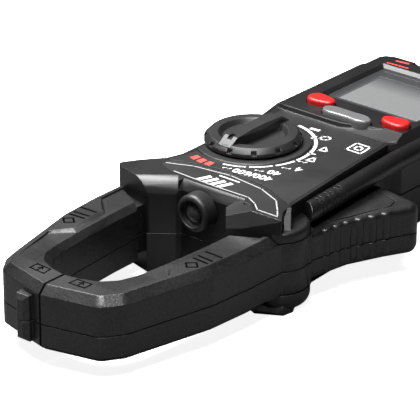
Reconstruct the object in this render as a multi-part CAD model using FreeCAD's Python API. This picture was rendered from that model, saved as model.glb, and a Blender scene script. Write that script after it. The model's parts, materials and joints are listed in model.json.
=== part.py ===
import FreeCAD, Part
import math
import os

# Handheld clamp meter, lying on its back.  Millimetres, +Z up out of the display.
# While it is built, Y is measured from the jaw tip towards the handle and X is the
# distance from the middle plane; the moving jaw and its trigger are on +X.  Every
# piece is shifted by -REF_Y at the end, so the origin is the middle of the back face.

# ---- driving dimensions ----
REF_Y = 125.0             # distance from the jaw tip to the origin
SEAM_Z = 13.0             # parting plane of housing, jaws and trigger
SEAM_GROOVE = 0.35        # depth and height of the step along the parting line
WALL = 2.0                # housing wall
FIT = 0.2                 # gap between fixed pieces that sit in one another
RUN = 0.05                # radial running clearance on shafts

# jaws
JAW_BOTTOM_Z = 5.0
JAW_TOP_Z = 24.0
JAW_GAP = 0.8             # gap between the two closed tips
JAW_CHAMFER = 2.4
RELIEF = 0.6              # depth of the recess in the jaws' tops
JAW_REAR_Y = 62.4         # outer rear corner; the inner one is shorter
CORE_Z = (8.5, 19.5)      # laminated core, lowest and highest
COIL_Y = (24.0, 46.0)     # winding on each core

# hub, lever and trigger
PIVOT = (23.0, 70.2)
HUB_R = 9.2
LEVER_Z = (6.0, 21.4)
KNUCKLE_GAP = 0.35        # axial gap between lever hub and housing knuckles
HUB_TOP_Z = 24.6
PIN_R = 2.5
OPEN_DEG = 22.0
SPRING_R = 4.3
SPRING_WIRE_R = 0.45
SPRING_PITCH = 1.3
SPRING_TURNS = 6
TRIGGER_RIBS = 6

# housing
PANEL_Z = 29.2
PLATEAU_Z = 30.5
BAND_Z = 28.6
BODY_HALF_W = 23.6
REAR_Y = 186.0
POST_ROLL = 5.0           # radius of the post's rolled upper edge
RAIL_R = 2.9
RAIL_Z = 25.4
PCB_Z = (22.6, 24.2)

# dial
KNOB = (-10.5, 100.5)
KNOB_R = 14.4
KNOB_NOTCHES = 12
KNOB_SKIRT_Z = (30.1, 32.7)
KNOB_TOP_Z = 34.9
COLLAR_R = 17.2
SHAFT_R = 5.0

# display and buttons
FACE_X = 1.0              # the display and the buttons sit this far from the middle plane
LENS_HALF_X = 16.4
LENS_Y = (141.4, 170.2)
BUTTON_TOP_Z = 32.2
BUTTON_GAP = 0.35
RED_BUTTON_X = (-11.6, 15.4)
RED_BUTTON_Y = 134.6
WIDE_BUTTON = (1.2, 129.9)

# rear end and battery bay
CELL_R = 5.2
CELL_LENGTH = 44.0
CELL_Z = 7.8
CELL_Y = 132.5
JACK_X = 8.5
JACK_Z = 18.0
JACK_BORE_R = 2.0
JACK_LENGTH = 18.0
SCREW_PLACES = [(-18.6, 84.0), (-18.6, 124.0), (-17.4, 180.0), (17.4, 180.0)]
LAMP = (-0.4, 22.9)       # X and Z of the lamp's axis
LAMP_R = 5.6

os.makedirs("parts", exist_ok=True)


# ---- helpers ----
def vec(x, y, z=0.0):
    return FreeCAD.Vector(x, y, z)


def polygon(points, z):
    ring = [vec(x, y, z) for x, y in points]
    return Part.Face(Part.makePolygon(ring + ring[:1]))


def prism(points, low, high):
    return polygon(points, low).extrude(vec(0, 0, high - low))


def block(x0, x1, y0, y1, z0, z1):
    return Part.makeBox(x1 - x0, y1 - y0, z1 - z0, vec(x0, y0, z0))


def disc(centre, radius, low, high):
    return Part.makeCylinder(radius, high - low, vec(centre[0], centre[1], low))


def rod_y(x, z, radius, y0, y1):
    return Part.makeCylinder(radius, y1 - y0, vec(x, y0, z), vec(0, 1, 0))


def grown(points, amount, low, high):
    """Prism of an outline that is offset outward by amount (inward when negative)."""
    face = polygon(points, low).makeOffset2D(amount, 0, False, False, True)
    return face.extrude(vec(0, 0, high - low))


def mirrored(points):
    return [(-x, y) for x, y in points][::-1]


def is_upright(edge):
    """True for an edge that runs straight up or down."""
    a, b = edge.Vertexes[0].Point, edge.Vertexes[-1].Point
    return math.hypot(a.x - b.x, a.y - b.y) < 1e-4 and abs(a.z - b.z) > 0.5


def upright_edges(shape, near=None, reach=1.0):
    """Vertical edges, or only those within reach of the listed (x, y) places."""
    found = []
    for edge in shape.Edges:
        if len(edge.Vertexes) < 2 or not is_upright(edge):
            continue
        spot = edge.Vertexes[0].Point
        if near and all(math.hypot(spot.x - x, spot.y - y) > reach for x, y in near):
            continue
        found.append(edge)
    return found


def level_edges(shape, z, keep=None):
    """Edges that lie in the plane at height z and pass the keep(x, y) test."""
    found = []
    for edge in shape.Edges:
        box = edge.BoundBox
        if box.ZMax - box.ZMin > 1e-3 or abs(box.ZMax - z) > 1e-3:
            continue
        middle = edge.valueAt((edge.FirstParameter + edge.LastParameter) / 2)
        if keep is None or keep(middle.x, middle.y):
            found.append(edge)
    return found


def joined(shapes):
    whole = shapes[0]
    for shape in shapes[1:]:
        whole = whole.fuse(shape)
    return whole.removeSplitter()


def save(node, shape):
    shape = shape.copy()
    shape.translate(vec(0, -REF_Y, 0))
    shape.exportStep("parts/" + node + ".step")


def tapered(lower, low, upper, high):
    """Solid with flat sides between two outlines that have the same number of corners."""
    rings = []
    for points, z in ((lower, low), (upper, high)):
        corners = [vec(x, y, z) for x, y in points]
        rings.append(Part.makePolygon(corners + corners[:1]))
    return Part.makeLoft(rings, True, True)


# ---- outlines, seen from above ----
JAW_OUTER = [(JAW_GAP / 2, -2.4), (17.6, 1.6), (22.0, 8.0), (25.0, 21.0), (28.4, 36.0),
             (29.4, 50.0), (29.5, JAW_REAR_Y)]
JAW_INNER = [(15.6, 55.0), (15.4, 46.0), (14.4, 32.0), (13.2, 21.0), (11.6, 15.6),
             (8.6, 12.2), (4.4, 10.4), (JAW_GAP / 2, 9.8)]
JAW_OUTLINE = JAW_OUTER + JAW_INNER

TRIGGER_OUTER = [(31.6, 77.4), (33.8, 89.9), (38.4, 100.4), (42.8, 108.6)]
TRIGGER_REAR = [(41.4, 111.6), (24.4, 114.6)]
TRIGGER_INNER = [(21.0, 109.0), (18.0, 92.0), (15.4, 80.0)]

UPPER_NEAR_SIDE = [(30.4, 62.7), (27.0, 67.6), (26.0, 71.8), (23.2, 98.0), (20.8, 124.0),
                   (BODY_HALF_W, 127.4), (BODY_HALF_W, 175.0), (20.6, 183.6), (13.0, REAR_Y)]
UPPER_FAR_SIDE = [(-13.0, REAR_Y), (-20.6, 183.6), (-BODY_HALF_W, 175.0), (-BODY_HALF_W, 131.0),
                  (-20.8, 122.0), (-20.2, 98.0), (-20.4, 82.0), (-22.4, 75.6), (-27.2, 69.8), (-30.6, 64.4)]
HOOD_FRONT = [(-29.2, 62.8), (-15.8, 59.2), (-9.4, 64.3), (-8.6, 65.6), (12.6, 65.6), (16.4, 66.0),
              (19.8, 62.7)]
UPPER_OUTLINE = UPPER_NEAR_SIDE + UPPER_FAR_SIDE + HOOD_FRONT


def lever_sweep(low, high, margin):
    """Space the lever passes through behind the jaw as it opens."""
    sweep = disc(PIVOT, HUB_R + 1.0 + margin, low, high)
    outline = [(29.8, 62.0)] + TRIGGER_OUTER + TRIGGER_REAR + TRIGGER_INNER + [(13.8, 68.0), (14.0, 62.0)]
    steps = 4
    for i in range(steps + 1):
        swing = grown(outline, margin, low, high)
        swing.rotate(vec(PIVOT[0], PIVOT[1]), vec(0, 0, 1), OPEN_DEG * i / steps)
        sweep = sweep.fuse(swing)
    return sweep


def arm_sweep():
    """Space the rear end of the jaw arm passes through above the lever's hub."""
    outline = [(29.5, 54.0), (29.5, JAW_REAR_Y), (15.6, 55.0), (15.4, 50.0)]
    sweep = grown(outline, 0.5, LEVER_Z[1], JAW_TOP_Z + 0.7)
    steps = 4
    for i in range(1, steps + 1):
        swing = grown(outline, 0.5, LEVER_Z[1], JAW_TOP_Z + 0.7)
        swing.rotate(vec(PIVOT[0], PIVOT[1]), vec(0, 0, 1), OPEN_DEG * i / steps)
        sweep = sweep.fuse(swing)
    return sweep


# ---- jaws ----
def jaw_solid(points):
    """One jaw arm with its outer and inner top chamfers and rounded plan corners."""
    arm = prism(points, JAW_BOTTOM_Z, JAW_TOP_Z)
    side = 1 if points[1][0] + points[2][0] > 0 else -1
    corners = [(side * 17.6, 1.6), (side * 22.0, 8.0)]
    arm = arm.makeFillet(5.0, upright_edges(arm, corners))
    soft = [(side * x, y) for x, y in JAW_INNER[2:6]]
    arm = arm.makeFillet(2.5, upright_edges(arm, soft))
    arm = arm.makeChamfer(JAW_CHAMFER, level_edges(arm, JAW_TOP_Z, off_the_ends))
    return arm.makeChamfer(1.4, level_edges(arm, JAW_BOTTOM_Z, off_the_ends))


def off_the_ends(x, y):
    """True for jaw edges other than those of the tip face and of the slanted rear end."""
    rear_end = abs(y - 58.7) < 0.4 and abs(abs(x) - 22.5) < 0.6
    return abs(x) > 1.0 and not rear_end


def core_outline(side):
    outer = [(0.5, 0.9), (16.4, 4.4), (19.2, 9.0), (22.0, 22.0), (24.9, 36.0), (25.9, 50.0), (26.0, 54.0)]
    inner = [(19.6, 54.0), (19.4, 46.0), (18.4, 33.0), (16.4, 21.0), (13.4, 12.6), (8.4, 8.0), (0.5, 6.4)]
    return [(side * x, y) for x, y in outer + inner]


def jaw_core(side):
    return prism(core_outline(side), CORE_Z[0], CORE_Z[1])


def jaw_coil(side):
    """Winding around the straight part of a core, as one sleeve that hugs it."""
    band = [(15.0, COIL_Y[0]), (30.0, COIL_Y[0]), (30.0, COIL_Y[1]), (15.0, COIL_Y[1])]
    span = prism([(side * x, y) for x, y in band], 0, 30)
    sleeve = grown(core_outline(side), 1.3, CORE_Z[0] - 1.3, CORE_Z[1] + 1.3)
    return sleeve.cut(grown(core_outline(side), 0.05, CORE_Z[0] - 0.05, CORE_Z[1] + 0.05)).common(span)


def jaw_cavity(side):
    """Room inside a jaw for its core and its winding."""
    core_room = grown(core_outline(side), FIT, CORE_Z[0] - FIT, CORE_Z[1] + FIT)
    band = [(14.0, COIL_Y[0] - 1), (31.0, COIL_Y[0] - 1), (31.0, COIL_Y[1] + 1), (14.0, COIL_Y[1] + 1)]
    span = prism([(side * x, y) for x, y in band], 0, 30)
    coil_room = grown(core_outline(side), 1.3 + FIT, CORE_Z[0] - 1.5, CORE_Z[1] + 1.5).common(span)
    return core_room.fuse(coil_room)


def top_relief(side):
    """Recess in a jaw's top, open to the window, that leaves an outer rim and a pad proud.

    It fades out towards the tip, and the pad has a sloped face on its window side.
    """
    floor = JAW_TOP_Z - RELIEF
    beyond = [(26.0, 66.0), (12.0, 66.0), (12.0, 30.0), (6.0, 14.0), (1.0, 11.0), (1.0, 7.6)]
    rim = [(17.2, 7.6), (18.4, 10.0), (21.2, 22.0)]
    upper = rim + [(22.2, 25.2), (18.2, 31.1), (20.4, 45.3), (25.8, 51.0)] + beyond
    lower = rim + [(22.0, 24.9), (16.2, 30.2), (18.4, 44.7), (25.6, 51.4)] + beyond
    cut = tapered(mirrored(lower), floor, mirrored(upper), JAW_TOP_Z)
    cut = cut.fuse(prism(mirrored(upper), JAW_TOP_Z, JAW_TOP_Z + 1))
    fade = [(7.0, JAW_TOP_Z + 0.05), (22.0, floor), (70.0, floor), (70.0, JAW_TOP_Z + 1),
            (7.0, JAW_TOP_Z + 1)]
    ring = [vec(-40, y, z) for y, z in fade]
    cut = cut.common(Part.Face(Part.makePolygon(ring + ring[:1])).extrude(vec(80, 0, 0)))
    return cut if side < 0 else cut.mirror(vec(0, 0, 0), vec(1, 0, 0))


def tip_rib():
    """Upright rib on the fixed jaw's nose that guards the joint between the tips."""
    rib = block(-8.0, -3.4, -4.2, 1.0, JAW_BOTTOM_Z + 1.6, 20.2)
    front = [e for e in rib.Edges if abs(e.BoundBox.YMax + 4.2) < 1e-3]
    return rib.makeChamfer(1.3, front)


def tongue(gap):
    """Block behind the fixed jaw that is clamped between the two housing halves."""
    return block(-27.0 - gap, -17.4 + gap, 54.8, 72.0 + gap, 6.8 - gap, 21.4 + gap)


def fixed_jaw():
    arm = jaw_solid(mirrored(JAW_OUTLINE)).fuse(tip_rib()).removeSplitter()
    arm = arm.fuse(tongue(0.0)).removeSplitter()
    return arm.cut(jaw_cavity(-1)).cut(top_relief(-1))


def trigger_ribs():
    """Upright grip ribs that stand on the trigger's outer face."""
    ribs = []
    for i in range(TRIGGER_RIBS):
        y = 81.2 + 3.9 * i
        x = outer_x(y)
        rib = disc((x - 0.95, y), 1.5, LEVER_Z[0] + 2.2, LEVER_Z[1] - 0.5)
        ribs.append(rib.makeFillet(0.8, level_edges(rib, LEVER_Z[1] - 0.5)))
    return ribs


def outer_x(y):
    """X of the trigger's outer face at a given Y."""
    for (xa, ya), (xb, yb) in zip(TRIGGER_OUTER, TRIGGER_OUTER[1:]):
        if ya <= y <= yb:
            return xa + (xb - xa) * (y - ya) / (yb - ya)
    return TRIGGER_OUTER[0][0]


def trigger_solid():
    outline = TRIGGER_OUTER + TRIGGER_REAR + TRIGGER_INNER + [(18.0, 74.0), (26.0, 70.0), (30.8, 73.6)]
    handle = prism(outline, LEVER_Z[0], LEVER_Z[1])
    handle = handle.makeFillet(3.0, upright_edges(handle, [TRIGGER_OUTER[-1], TRIGGER_REAR[0]]))
    handle = handle.makeFillet(2.2, level_edges(handle, LEVER_Z[1], on_trigger_rim))
    handle = handle.makeFillet(3.2, level_edges(handle, LEVER_Z[0], on_trigger_rim))
    pad = [(30.2, 84.0), (35.6, 99.4), (37.2, 103.6), (36.2, 107.6), (25.8, 110.0), (23.4, 84.0)]
    low, high = LEVER_Z[1] - 0.4, LEVER_Z[1] + 1
    handle = handle.cut(grown(pad, 0.2, low, high).cut(grown(pad, -0.2, low, high)))
    return joined([handle] + trigger_ribs())


def on_trigger_rim(x, y):
    outside = y > 78.0 and x > outer_x(min(y, 108.6)) - 1.6
    return outside or y > 110.4


def moving_jaw():
    """Jaw arm, hub and trigger moulded as one lever."""
    arm = jaw_solid(JAW_OUTLINE)
    neck = prism([(29.5, 58.0), (29.7, 63.9), (24.0, 74.0), (14.2, 68.0), (15.2, 58.0), (15.6, 54.0)],
                 LEVER_Z[0], LEVER_Z[1])
    ridge = disc((30.9, 73.8), 1.2, LEVER_Z[0] + 0.4, LEVER_Z[1])
    hub = disc(PIVOT, HUB_R, LEVER_Z[0], LEVER_Z[1])
    lever = joined([arm, neck, hub, ridge, trigger_solid()])
    lever = lever.cut(disc(PIVOT, PIN_R + RUN, 0, 30))
    lever = lever.cut(spring_room(0.3))
    return lever.cut(jaw_cavity(1)).cut(top_relief(1))


def split(shape, name):
    """Cuts a moulding at the parting plane into its upper and lower shell."""
    upper = shape.common(block(-60, 60, -20, 200, SEAM_Z, 60))
    lower = shape.common(block(-60, 60, -20, 200, -10, SEAM_Z))
    save(name + "_upper", upper)
    save(name + "_lower", lower.cut(seam_groove(lower)))


def seam_groove(lower):
    """Narrow step round the outside of a lower shell that shows as the parting line."""
    loops = lower.slice(vec(0, 0, 1), SEAM_Z - SEAM_GROOVE / 2)
    outer = max(loops, key=lambda loop: loop.BoundBox.DiagonalLength)
    face = Part.Face(outer)
    face.translate(vec(0, 0, -SEAM_GROOVE / 2))
    core = face.makeOffset2D(-SEAM_GROOVE, 0, False, False, True)
    return face.extrude(vec(0, 0, SEAM_GROOVE * 2)).cut(core.extrude(vec(0, 0, SEAM_GROOVE * 2)))


def spring_room(margin):
    """Annular pocket around the pin for the return spring's coils."""
    low, high = 9.0 - margin, 17.6 + margin
    ring = disc(PIVOT, 5.2 + margin, low, high).cut(disc(PIVOT, 3.4 - margin, low, high))
    return ring.fuse(block(14.0, PIVOT[0] - 3.6, PIVOT[1] + 1.0, PIVOT[1] + 6.0, 9.0 - margin, 10.6))


def return_spring():
    """Torsion spring around the pivot pin, wound from eight-sided wire."""
    section = []
    for i in range(8):
        angle = math.radians(45.0 * i)
        section.append(vec(SPRING_R + SPRING_WIRE_R * math.cos(angle), 0, SPRING_WIRE_R * math.sin(angle)))
    wire = Part.makePolygon(section + section[:1])
    path = Part.makeLongHelix(SPRING_PITCH, SPRING_PITCH * SPRING_TURNS, SPRING_R)
    coil = Part.Wire(path).makePipeShell([wire], True, True)
    coil.translate(vec(PIVOT[0], PIVOT[1], 9.4))
    return coil


# ---- housing ----
def upper_solid():
    """Outside of the front housing above the parting plane."""
    low = prism(UPPER_OUTLINE, SEAM_Z, PANEL_Z)
    corners = [(-30.6, 64.4), (-29.2, 62.8)]
    low = low.makeFillet(1.6, upright_edges(low, corners, 0.3))
    low = low.makeFillet(2.4, upright_edges(low, [(-15.8, 59.2)], 0.3))
    low = low.makeFillet(1.6, upright_edges(low, [(-9.4, 64.3)], 0.3))
    low = low.makeFillet(4.0, upright_edges(low, [(20.6, 183.6), (-20.6, 183.6), (13.0, REAR_Y),
                                                  (-13.0, REAR_Y)], 0.3))
    low = low.cut(post_bevel())
    plateau = [(BODY_HALF_W, 127.6), (BODY_HALF_W, 172.0), (19.8, 177.4), (13.0, 180.0), (-13.0, 180.0),
               (-19.8, 177.4), (-BODY_HALF_W, 172.0), (-BODY_HALF_W, 131.0), (-19.4, 125.4), (19.4, 125.4)]
    rise = prism(plateau, PANEL_Z - 3.0, PLATEAU_Z)
    whole = low.fuse(rise).removeSplitter()
    whole = whole.cut(ramp())
    crest = [(-BODY_HALF_W, 127.0), (-19.0, 126.0), (1.8, 125.8), (14.2, 130.2)]
    toe = [(x, y - 0.7) for x, y in crest]
    behind = [(14.2, 134.0), (-BODY_HALF_W, 134.0)]
    whole = whole.fuse(tapered(toe + behind, PANEL_Z - 0.1, crest + behind, PLATEAU_Z))
    for cut in (rear_slope(), side_bevel(1), side_bevel(-1)):
        whole = whole.cut(cut)
    return whole.removeSplitter()


def post_bevel():
    """Cutter that rolls the upper edge of the post beside the lamp over a large radius."""
    start, end = vec(-15.8, 59.2), vec(-9.4, 64.3)
    along = end - start
    along.normalize()
    inward = vec(-along.y, along.x)

    def spot(depth, z):
        return start - along * 6.0 + inward * depth + vec(0, 0, z)

    low, drop = PANEL_Z - POST_ROLL, POST_ROLL * (1 - math.sqrt(0.5))
    roll = Part.Arc(spot(0.0, low), spot(drop, PANEL_Z - drop), spot(POST_ROLL, PANEL_Z)).toShape()
    rest = Part.makePolygon([spot(POST_ROLL, PANEL_Z), spot(POST_ROLL, PANEL_Z + 2), spot(-3.0, PANEL_Z + 2),
                             spot(-3.0, low), spot(0.0, low)])
    return Part.Face(Part.Wire([roll] + rest.Edges)).extrude(along * 15.0)


def side_bevel(side):
    """Wedge that bevels a long upper edge beside the display."""
    section = [(21.0, PLATEAU_Z), (21.0, PLATEAU_Z + 1.0), (30.0, PLATEAU_Z + 1.0), (30.0, 27.9),
               (BODY_HALF_W, 27.9)]
    ring = [vec(x, 126.0, z) for x, z in section]
    wedge = Part.Face(Part.makePolygon(ring + ring[:1])).extrude(vec(0, REAR_Y - 126.0 + 4.0, 0))
    return wedge if side > 0 else wedge.mirror(vec(0, 0, 0), vec(1, 0, 0))


def rear_slope():
    """The face falls away behind the display towards the input sockets."""
    side = [(178.4, PLATEAU_Z + 2), (178.4, PLATEAU_Z), (REAR_Y, 24.0), (REAR_Y + 2, 22.4),
            (REAR_Y + 2, PLATEAU_Z + 2)]
    ring = [vec(-40, y, z) for y, z in side]
    return Part.Face(Part.makePolygon(ring + ring[:1])).extrude(vec(80, 0, 0))


def ramp():
    """Slanted step up from the dial panel to the display plateau."""
    side = [(120.0, PANEL_Z), (125.4, PANEL_Z), (131.0, PLATEAU_Z), (131.0, PLATEAU_Z + 2),
            (120.0, PLATEAU_Z + 2)]
    ring = [vec(-30.0, y, z) for y, z in side]
    return Part.Face(Part.makePolygon(ring + ring[:1])).extrude(vec(60, 0, 0))


def rail_path(side):
    if side > 0:
        return [(27.4, 76.4), (24.4, 123.0), (24.2, 172.0)]
    return [(-21.2, 82.0), (-21.8, 120.0), (-24.2, 131.0), (-24.2, 172.0)]


def rail_solid(side):
    """Round soft grip bar along the body's upper edge, with three pairs of rings."""
    points = rail_path(side)
    bars = []
    for (xa, ya), (xb, yb) in zip(points, points[1:]):
        run = vec(xb - xa, yb - ya)
        bars.append(Part.makeCylinder(RAIL_R, run.Length, vec(xa, ya, RAIL_Z), run))
    for x, y in points:
        bars.append(Part.makeSphere(RAIL_R, vec(x, y, RAIL_Z)))
    bar = joined(bars)
    run = vec(points[1][0] - points[0][0], points[1][1] - points[0][1])
    run.normalize()
    for i in range(3):
        for step in (0.0, 1.7):
            place = vec(points[0][0], points[0][1], RAIL_Z) + run * (5.4 + 4.6 * i + step)
            ring = Part.makeCylinder(RAIL_R + 1, 0.7, place, run)
            bar = bar.cut(ring.cut(Part.makeCylinder(RAIL_R - 0.45, 0.7, place, run)))
    return bar


def body_cavity(low, high):
    return grown(UPPER_OUTLINE, -WALL, low, high)


def front_housing():
    outside = upper_solid()
    shell = outside.cut(body_cavity(SEAM_Z - 1, BAND_Z - WALL))
    knuckle = disc(PIVOT, HUB_R + 0.1, LEVER_Z[1] + KNUCKLE_GAP, HUB_TOP_Z)
    knuckle = knuckle.makeFillet(1.2, level_edges(knuckle, HUB_TOP_Z))
    knuckle = knuckle.cut(block(10.0, 29.3, 55.0, 64.4, LEVER_Z[1], HUB_TOP_Z + 1))
    shell = joined([shell.cut(hood_lip()), knuckle, hub_shoulder(), corner_strut()])
    shell = shell.cut(lever_sweep(SEAM_Z - 1, LEVER_Z[1] + KNUCKLE_GAP, 0.5)).cut(arm_sweep())
    shell = shell.cut(disc(PIVOT, PIN_R + RUN, 0, HUB_TOP_Z - 1.2))
    shell = shell.cut(panel_pocket(0.15)).cut(band_pocket(0.15))
    shell = shell.cut(disc(KNOB, SHAFT_R + 0.3, 20, 40))
    shell = shell.cut(lens_pocket()).cut(display_window())
    for cut in button_holes(BUTTON_GAP):
        shell = shell.cut(cut)
    shell = shell.cut(tongue(FIT))
    shell = shell.cut(rod_y(LAMP[0], LAMP[1], 4.2, 60.0, 72.0))
    for x in (-JACK_X, JACK_X):
        shell = shell.cut(rod_y(x, JACK_Z, 3.9 + FIT, REAR_Y - 6, REAR_Y + 3))
    notch = block(-9.6, 9.6, 176.8, 190.0, PLATEAU_Z - 1.2, PLATEAU_Z + 1)
    return shell.cut(notch)


def hood_lip():
    """Cutter that leans the hood's front edge back above the lamp."""
    lower = [(-9.0, 65.5), (16.6, 65.5), (16.6, 60.0), (-9.0, 60.0)]
    upper = [(-9.0, 67.6), (13.2, 67.9), (16.6, 60.0), (-9.0, 60.0)]
    return tapered(lower, 26.4, upper, PANEL_Z + 0.05)


def beyond_plane(origin, normal):
    """Large block that fills the side of a plane its normal points to."""
    slab = Part.makeBox(80, 80, 40, vec(-40, -40, 0))
    slab.Placement = FreeCAD.Placement(origin, FreeCAD.Rotation(vec(0, 0, 1), normal))
    return slab


def hub_shoulder():
    """Bulge of the hood in front of the hub, just behind the jaw arm, with two sloped faces."""
    plan = [(9.0, 64.6), (13.8, 58.7), (18.8, 59.6), (30.4, 62.7), (27.0, 67.4), (11.0, 67.4)]
    bulge = prism(plan, LEVER_Z[1] + KNUCKLE_GAP, PANEL_Z)
    bulge = bulge.cut(beyond_plane(vec(19.6, 62.9, PANEL_Z), vec(-0.273, -0.282, 0.92)))
    return bulge.cut(beyond_plane(vec(19.8, 62.7, PANEL_Z), vec(0.016, -0.832, 0.555)))


def corner_strut():
    """Slanted bar from the dial panel's near corner down to the hub cover."""
    lower = [(27.5, 67.0), (28.7, 66.0), (30.0, 67.5), (28.8, 68.5)]
    upper = [(x - 2.9, y + 3.8) for x, y in lower]
    return tapered(lower, 24.4, upper, PANEL_Z)


def panel_outline():
    front = [(-21.0, 75.0), (-12.6, 78.2), (0.0, 79.8), (12.6, 78.2), (21.0, 74.6), (24.9, 72.8)]
    return front + [(22.2, 98.0), (19.4, 124.8), (-19.4, 124.8), (-19.2, 98.0), (-19.4, 82.0), (-21.4, 76.0)]


def panel_pocket(gap):
    return grown(panel_outline(), gap, PANEL_Z - 0.8, PANEL_Z + 1)


def dial_panel():
    """Printed faceplate that lies flush in the front housing around the dial."""
    plate = prism(panel_outline(), PANEL_Z - 0.8, PANEL_Z)
    return plate.cut(disc(KNOB, COLLAR_R + 0.15, 20, 40))


def band_outline():
    front = [(-15.6, 69.4), (0.0, 68.7), (13.2, 68.9), (17.0, 66.9), (20.4, 63.9), (28.2, 63.9)]
    rear = [(25.6, 67.6), (21.0, 72.9), (12.6, 76.8), (0.0, 78.4), (-12.6, 76.8)]
    return front + rear + [(-20.6, 73.4), (-21.0, 71.6)]


def band_pocket(gap):
    return grown(band_outline(), gap, PANEL_Z - 0.6, PANEL_Z + 1)


def front_band():
    return prism(band_outline(), PANEL_Z - 0.6, PANEL_Z)


def lens_pocket():
    """Seat for the window, with a sloped border that opens out to the surface."""
    rings = []
    for grow in (FIT, 1.7):
        half = LENS_HALF_X + grow
        rings.append([(FACE_X - half, LENS_Y[0] - grow), (FACE_X + half, LENS_Y[0] - grow),
                      (FACE_X + half, LENS_Y[1] + grow), (FACE_X - half, LENS_Y[1] + grow)])
    border = tapered(rings[0], PLATEAU_Z - 0.9, rings[1], PLATEAU_Z + 0.1)
    return prism(rings[0], PLATEAU_Z - 1.9, PLATEAU_Z - 0.8).fuse(border)


def display_window():
    return block(FACE_X - 15.0, FACE_X + 15.0, 144.6, 166.4, 20.0, PLATEAU_Z + 1)


def lcd_lens():
    lens = block(FACE_X - LENS_HALF_X, FACE_X + LENS_HALF_X, LENS_Y[0], LENS_Y[1],
                 PLATEAU_Z - 1.9, PLATEAU_Z - 0.9)
    return lens.makeFillet(1.5, upright_edges(lens))


def lcd_module():
    return block(FACE_X - 14.8, FACE_X + 14.8, 144.8, 166.2, PCB_Z[1] + 0.6, PLATEAU_Z - 2.4)


# ---- buttons ----
def red_outline(side):
    """Rounded button that is broader towards its outer end."""
    x = RED_BUTTON_X[0] if side < 0 else RED_BUTTON_X[1]
    shape = [(-4.5, 0.0), (-3.2, -2.0), (0.0, -2.9), (3.4, -2.7),
             (4.9, 0.0), (3.6, 2.4), (0.0, 2.7), (-3.2, 1.8)]
    return [(x + side * px, RED_BUTTON_Y + py) for px, py in (shape if side > 0 else shape[::-1])]


def wide_outline():
    cx, cy = WIDE_BUTTON
    shape = [(-8.6, -0.2), (-7.2, -2.2), (-3.0, -2.6), (3.0, -2.6), (7.2, -2.3),
             (8.8, -0.2), (6.8, 2.0), (3.0, 2.4), (-3.0, 2.4), (-6.8, 2.0)]
    return [(cx + x, cy + y) for x, y in shape]


def smooth_prism(points, low, high, grow=0.0):
    """Upright solid whose outline is a smooth closed curve through the points."""
    cx = sum(x for x, y in points) / len(points)
    cy = sum(y for x, y in points) / len(points)
    ring = []
    for x, y in points:
        reach = math.hypot(x - cx, y - cy)
        ring.append(vec(cx + (x - cx) * (1 + grow / reach), cy + (y - cy) * (1 + grow / reach), low))
    curve = Part.BSplineCurve()
    curve.interpolate(ring, PeriodicFlag=True)
    return Part.Face(Part.Wire([curve.toShape()])).extrude(vec(0, 0, high - low))


def button(outline, flange):
    cap = smooth_prism(outline, PCB_Z[1] + 2.2, BUTTON_TOP_Z)
    cap = cap.makeFillet(0.8, level_edges(cap, BUTTON_TOP_Z))
    return cap.fuse(smooth_prism(outline, PCB_Z[1] + 1.6, PCB_Z[1] + 2.3, flange)).removeSplitter()


def button_holes(gap):
    outlines = (red_outline(-1), red_outline(1), wide_outline())
    return [smooth_prism(outline, 20, 40, gap) for outline in outlines]


def button_pad():
    """Rubber sheet with three domes that spring the buttons back."""
    sheet = block(-18.5, 19.5, 126.5, 139.5, PCB_Z[1] + 0.05, PCB_Z[1] + 0.45)
    domes = [disc((RED_BUTTON_X[0], RED_BUTTON_Y), 1.6, PCB_Z[1] + 0.2, PCB_Z[1] + 0.55),
             disc((RED_BUTTON_X[1], RED_BUTTON_Y), 1.6, PCB_Z[1] + 0.2, PCB_Z[1] + 0.55),
             disc(WIDE_BUTTON, 1.6, PCB_Z[1] + 0.2, PCB_Z[1] + 0.55)]
    return joined([sheet] + domes)


# ---- rotary selector ----
def knob_collar():
    """Dished ring under the knob; the body's far edge cuts it off."""
    ring = disc(KNOB, COLLAR_R, PANEL_Z - 0.8, PANEL_Z + 0.35)
    ring = ring.makeChamfer(0.34, level_edges(ring, PANEL_Z + 0.35))
    ring = ring.common(prism(panel_outline(), 20, 40))
    return ring.cut(disc(KNOB, 11.5, 20, 40))


def rotary_knob():
    """Low knob: a bevelled skirt, a dish and a bar handle that bridges the dish."""
    skirt = disc(KNOB, KNOB_R, KNOB_SKIRT_Z[0], KNOB_SKIRT_Z[1])
    skirt = skirt.makeChamfer(1.5, level_edges(skirt, KNOB_SKIRT_Z[1]))
    dish = Part.makeCone(9.0, 10.6, 2.0, vec(KNOB[0], KNOB[1], KNOB_SKIRT_Z[1] - 1.6))
    knob = joined([skirt.cut(dish), handle_bar(), disc(KNOB, SHAFT_R, PCB_Z[1] + 2.9, KNOB_SKIRT_Z[0] + 0.5)])
    for i in range(KNOB_NOTCHES):
        knob = knob.cut(skirt_notch(-50 + 360.0 * i / KNOB_NOTCHES))
    return knob


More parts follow.
